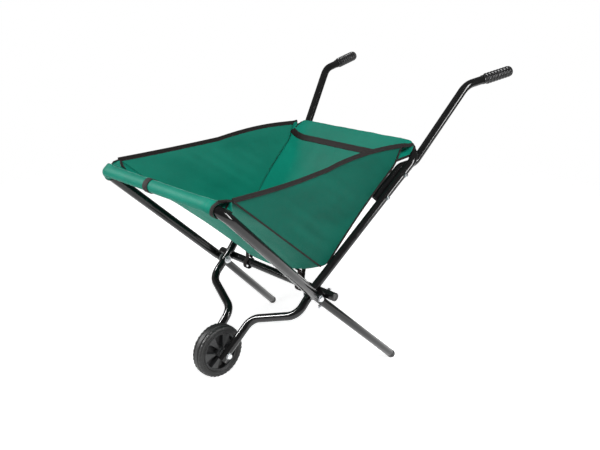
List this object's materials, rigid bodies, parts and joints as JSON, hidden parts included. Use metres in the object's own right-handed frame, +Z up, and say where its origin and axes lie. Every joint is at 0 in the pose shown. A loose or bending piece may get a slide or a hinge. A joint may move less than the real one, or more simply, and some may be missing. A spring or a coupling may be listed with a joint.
{
  "type": "garden cart",
  "caption": "Folding garden cart: two crossed tube frames hinged at the sides carry a fabric tub, with a front wheel, grip handles and legs with foot caps.",
  "frame": {"origin": "on the ground, at the centre of the overall box in plan", "axes": "+Z up; -Y towards the wheel, the direction of travel; +Y towards the grips; +X to the right-hand side of someone facing the wheel from behind"},
  "size_m": [0.6094, 0.9902, 0.7669],
  "materials": {
    "black_coat": "gloss black powder coat on steel tube",
    "zinc": "bright zinc plate",
    "grip_plastic": "satin moulded plastic, ribbed on the grips",
    "spacer_plastic": "pale nylon",
    "hub_plastic": "satin moulded plastic",
    "tyre_rubber": "matt solid rubber",
    "tub_cloth": "woven polyester with a coated face, fine plain weave",
    "webbing": "flat woven polypropylene webbing"
  },
  "bodies": {
    "rear_frame": {"axle_bolt": "zinc", "axle_nut": "zinc", "axle_spacer_left": "zinc", "axle_spacer_right": "zinc", "grip_left": "grip_plastic", "grip_right": "grip_plastic", "handle_bolt_left_lower": "zinc", "handle_bolt_left_upper": "zinc", "handle_bolt_right_lower": "zinc", "handle_bolt_right_upper": "zinc", "handle_left": "black_coat", "handle_nut_left_lower": "zinc", "handle_nut_left_upper": "zinc", "handle_nut_right_lower": "zinc", "handle_nut_right_upper": "zinc", "handle_right": "black_coat", "pivot_bolt_left": "zinc", "pivot_bolt_right": "zinc", "pivot_nut_left": "zinc", "pivot_nut_right": "zinc", "pivot_spacer_left": "spacer_plastic", "pivot_spacer_right": "spacer_plastic", "pivot_washer_left": "zinc", "pivot_washer_right": "zinc", "rear_edge_webbing_left": "webbing", "rear_edge_webbing_right": "webbing", "rear_frame": "black_coat", "rear_sleeve": "tub_cloth", "rim_webbing_left": "webbing", "rim_webbing_right": "webbing", "tub_gusset_left": "tub_cloth", "tub_gusset_right": "tub_cloth", "tub_inner_strap": "webbing", "tub_rear_panel": "tub_cloth"},
    "leg_frame": {"front_frame": "black_coat", "lower_leg_left": "black_coat", "lower_leg_right": "black_coat", "foot_cap_left": "grip_plastic", "foot_cap_right": "grip_plastic", "cross_tube": "black_coat", "cross_tube_cap_left": "grip_plastic", "cross_tube_cap_right": "grip_plastic", "cross_bolt_left": "zinc", "cross_bolt_right": "zinc", "cross_nut_left": "zinc", "cross_nut_right": "zinc", "front_sleeve": "tub_cloth", "front_keeper_strap": "webbing", "tub_front_panel": "tub_cloth", "front_seam_piping_left": "webbing", "front_seam_piping_right": "webbing", "tub_strap_left": "webbing", "tub_strap_right": "webbing"},
    "wheel": {"tyre": "tyre_rubber", "wheel_hub": "hub_plastic"}
  },
  "joints": [
    {"name": "fold", "type": "hinge", "parent": "rear_frame", "child": "leg_frame", "pos_m": [0, -0.14985, 0.2345], "axis": [-1, 0, 0], "range_deg": [0, 80], "deforming": ["tub_front_panel", "tub_rear_panel", "tub_gusset_left", "tub_gusset_right", "rim_webbing_left", "rim_webbing_right", "front_seam_piping_left", "front_seam_piping_right"]},
    {"name": "wheel_spin", "type": "hinge", "parent": "rear_frame", "child": "wheel", "pos_m": [0, -0.31383, 0.07052], "axis": [1, 0, 0], "continuous": true}
  ]
}
